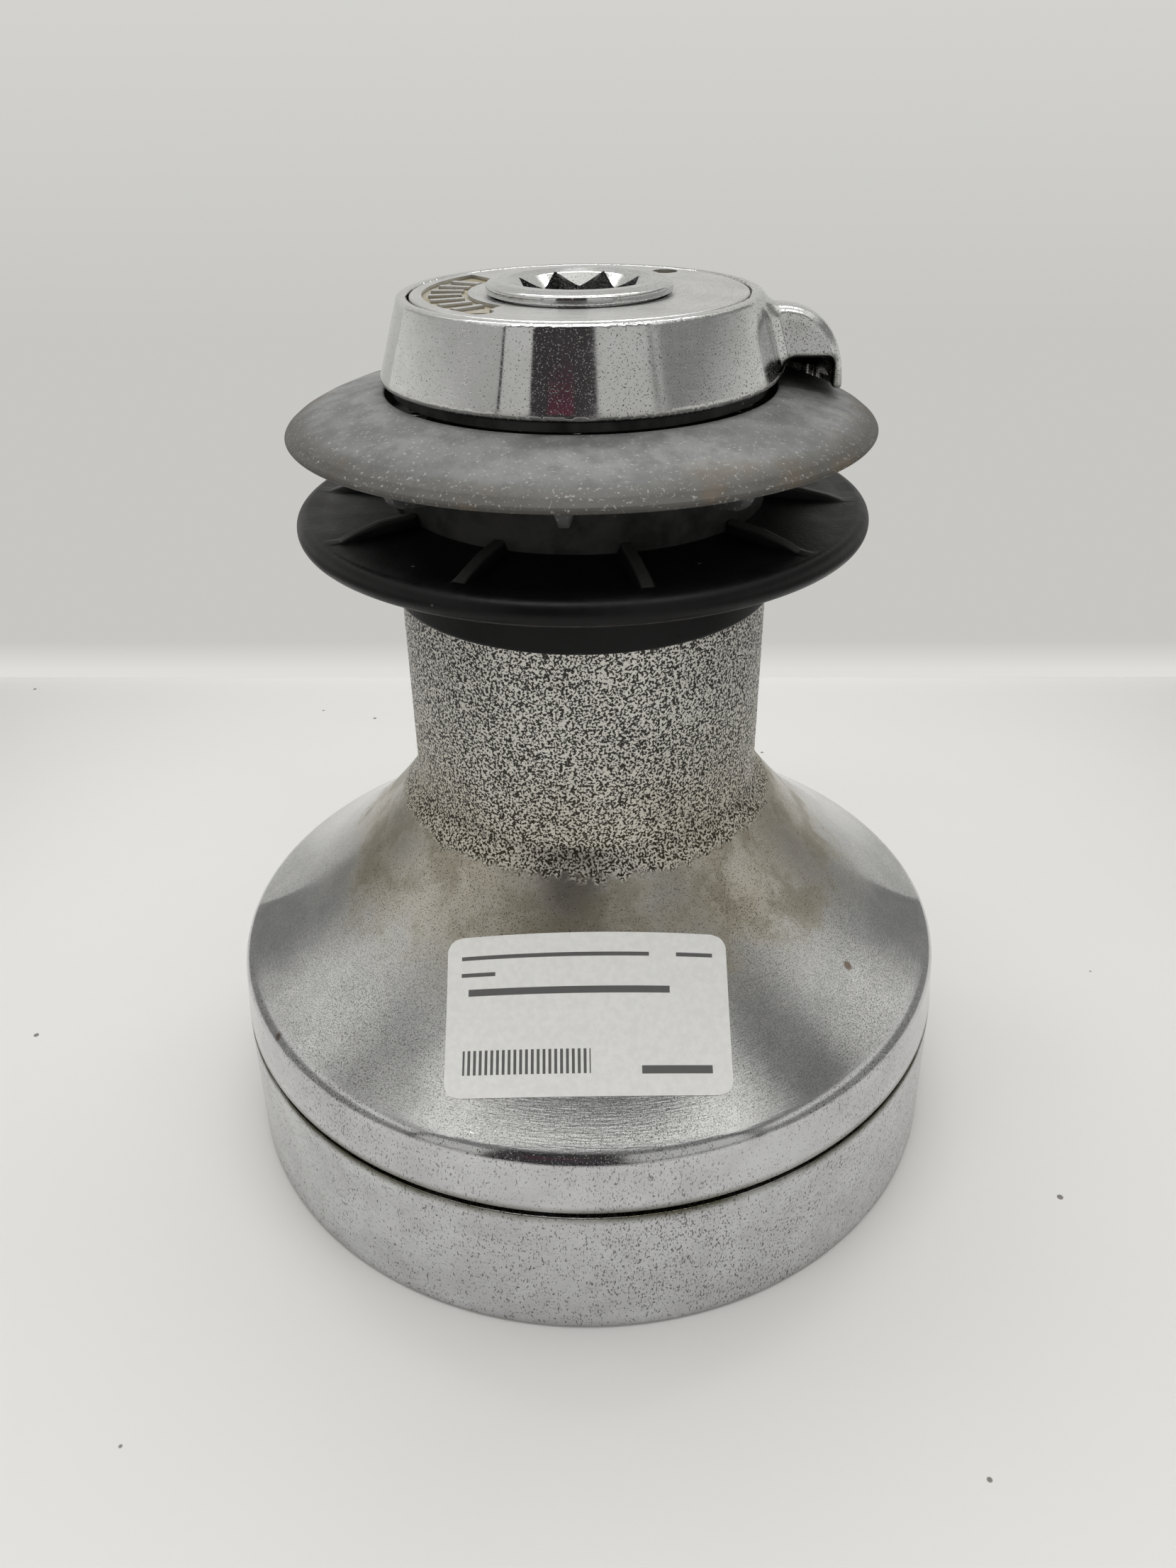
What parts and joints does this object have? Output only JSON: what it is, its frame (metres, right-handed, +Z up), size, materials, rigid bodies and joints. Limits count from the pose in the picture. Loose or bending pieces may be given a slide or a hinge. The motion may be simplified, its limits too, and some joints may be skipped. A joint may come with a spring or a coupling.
{
  "type": "sailboat winch",
  "caption": "Self-tailing sheet winch: flared skirt and rough rope barrel on a round base, ribbed jaws, feeder ring with arm, star handle socket.",
  "frame": {"origin": "centre of the base's underside, on the drum's axis", "axes": "+Z up along the drum's axis; -Y is the front, where the price label sits; +X is the side with the feeder arm"},
  "size_m": [0.1692, 0.1692, 0.191],
  "materials": {
    "worn_chrome": "worn satin plating over bronze, coarse blasted grip on the barrel",
    "polished_chrome": "polished plating with fine pits",
    "brushed_cap": "brushed",
    "black_moulding": "satin moulded",
    "weathered_moulding": "weathered matt",
    "bronze": "machined",
    "gear_bronze": "cut teeth",
    "gear_steel": "cut teeth",
    "stainless": "turned",
    "spring_steel": "drawn wire",
    "white_acetal": "turned",
    "black_acetal": "moulded",
    "paper_label": "blank paper sticker"
  },
  "bodies": {
    "root": {"base_housing": "worn_chrome", "center_stem": "bronze", "stem_screws": "stainless", "lower_spindle_bush": "bronze", "stem_lower_bush": "bronze", "stem_upper_bush": "bronze", "spindle_snap_ring": "stainless", "spindle_washer": "white_acetal", "low_axle": "stainless", "high_axle": "stainless", "idler_axle": "stainless", "gear_washers": "white_acetal", "axle_circlips": "stainless", "bearing_spacer": "black_acetal", "lower_thrust_washer": "white_acetal", "upper_thrust_washer": "white_acetal", "drum_collets": "bronze", "feeder_ring": "polished_chrome", "feeder_key": "stainless", "top_cap": "brushed_cap"},
    "drum": {"drum": "worn_chrome", "ring_gear": "gear_bronze", "lower_jaw": "black_moulding", "jaw_hub": "black_moulding", "jaw_hub_screws": "stainless", "jaw_springs": "spring_steel", "jaw_retainer": "black_moulding", "retainer_screws": "stainless", "price_label": "paper_label"},
    "upper_jaw": {"upper_jaw": "weathered_moulding"},
    "spindle": {"main_spindle": "polished_chrome", "spindle_gear": "gear_steel", "spindle_key": "stainless"},
    "low_gear": {"low_ratchet_gear": "gear_steel"},
    "low_pinion": {"low_pinion": "gear_bronze", "low_pawl_springs": "spring_steel"},
    "low_pawl_a": {"low_pawl_a": "stainless"},
    "low_pawl_b": {"low_pawl_b": "stainless"},
    "idler": {"idler_gear": "gear_steel"},
    "high_carrier": {"high_carrier_gear": "gear_bronze", "high_pawl_springs": "spring_steel"},
    "high_pawl_a": {"high_pawl_a": "stainless"},
    "high_pawl_b": {"high_pawl_b": "stainless"},
    "high_pinion": {"high_pinion": "gear_steel"},
    "lower_cage": {"lower_bearing_cage": "black_acetal", "lower_rollers": "stainless"},
    "upper_cage": {"upper_bearing_cage": "black_acetal", "upper_rollers": "stainless"}
  },
  "joints": [
    {"name": "drum_spin", "type": "hinge", "parent": "root", "child": "drum", "pos_m": [0, 0, 0.09], "axis": [0, 0, 1], "continuous": true},
    {"name": "spindle_spin", "type": "hinge", "parent": "root", "child": "spindle", "pos_m": [0, 0, 0.09], "axis": [0, 0, 1], "continuous": true},
    {"name": "low_gear_spin", "type": "hinge", "parent": "root", "child": "low_gear", "pos_m": [0.044, 0, 0.022], "axis": [0, 0, 1], "continuous": true},
    {"name": "low_pinion_spin", "type": "hinge", "parent": "root", "child": "low_pinion", "pos_m": [0.044, 0, 0.042], "axis": [0, 0, 1], "continuous": true},
    {"name": "idler_spin", "type": "hinge", "parent": "root", "child": "idler", "pos_m": [-0.02642, 0.02446, 0.022], "axis": [0, 0, 1], "continuous": true},
    {"name": "high_carrier_spin", "type": "hinge", "parent": "root", "child": "high_carrier", "pos_m": [-0.042, 0, 0.022], "axis": [0, 0, 1], "continuous": true},
    {"name": "high_pinion_spin", "type": "hinge", "parent": "root", "child": "high_pinion", "pos_m": [-0.042, 0, 0.042], "axis": [0, 0, 1], "continuous": true},
    {"name": "lower_cage_spin", "type": "hinge", "parent": "root", "child": "lower_cage", "pos_m": [0, 0, 0.067], "axis": [0, 0, 1], "continuous": true},
    {"name": "upper_cage_spin", "type": "hinge", "parent": "root", "child": "upper_cage", "pos_m": [0, 0, 0.1125], "axis": [0, 0, 1], "continuous": true},
    {"name": "jaw_lift", "type": "slide", "parent": "drum", "child": "upper_jaw", "axis": [0, 0, 1], "range_m": [0, 0.0015], "stiffness_N_per_m": 3000, "springref_m": -0.001, "deforming": ["jaw_springs"]},
    {"name": "low_pawl_a_swing", "type": "hinge", "parent": "low_pinion", "child": "low_pawl_a", "pos_m": [0.0556, 0, 0.022], "axis": [0, 0, 1], "range_deg": [0, 13], "stiffness_Nm_per_rad": 0.05},
    {"name": "low_pawl_b_swing", "type": "hinge", "parent": "low_pinion", "child": "low_pawl_b", "pos_m": [0.0324, 0, 0.022], "axis": [0, 0, 1], "range_deg": [0, 13], "stiffness_Nm_per_rad": 0.05},
    {"name": "high_pawl_a_swing", "type": "hinge", "parent": "high_carrier", "child": "high_pawl_a", "pos_m": [-0.0326, 0, 0.042], "axis": [0, 0, 1], "range_deg": [-8, 0], "stiffness_Nm_per_rad": 0.05},
    {"name": "high_pawl_b_swing", "type": "hinge", "parent": "high_carrier", "child": "high_pawl_b", "pos_m": [-0.0514, 0, 0.042], "axis": [0, 0, 1], "range_deg": [-8, 0], "stiffness_Nm_per_rad": 0.05}
  ],
  "couplings": [
    {"joint": "spindle_spin", "follows": "drum_spin", "ratio": -3.75},
    {"joint": "low_gear_spin", "follows": "drum_spin", "ratio": 3.75},
    {"joint": "low_pinion_spin", "follows": "drum_spin", "ratio": 3.75},
    {"joint": "idler_spin", "follows": "drum_spin", "ratio": 5.8929},
    {"joint": "high_carrier_spin", "follows": "drum_spin", "ratio": -5.5},
    {"joint": "high_pinion_spin", "follows": "drum_spin", "ratio": 3.3333},
    {"joint": "lower_cage_spin", "follows": "drum_spin", "ratio": 0.57219},
    {"joint": "upper_cage_spin", "follows": "drum_spin", "ratio": 0.57219}
  ]
}
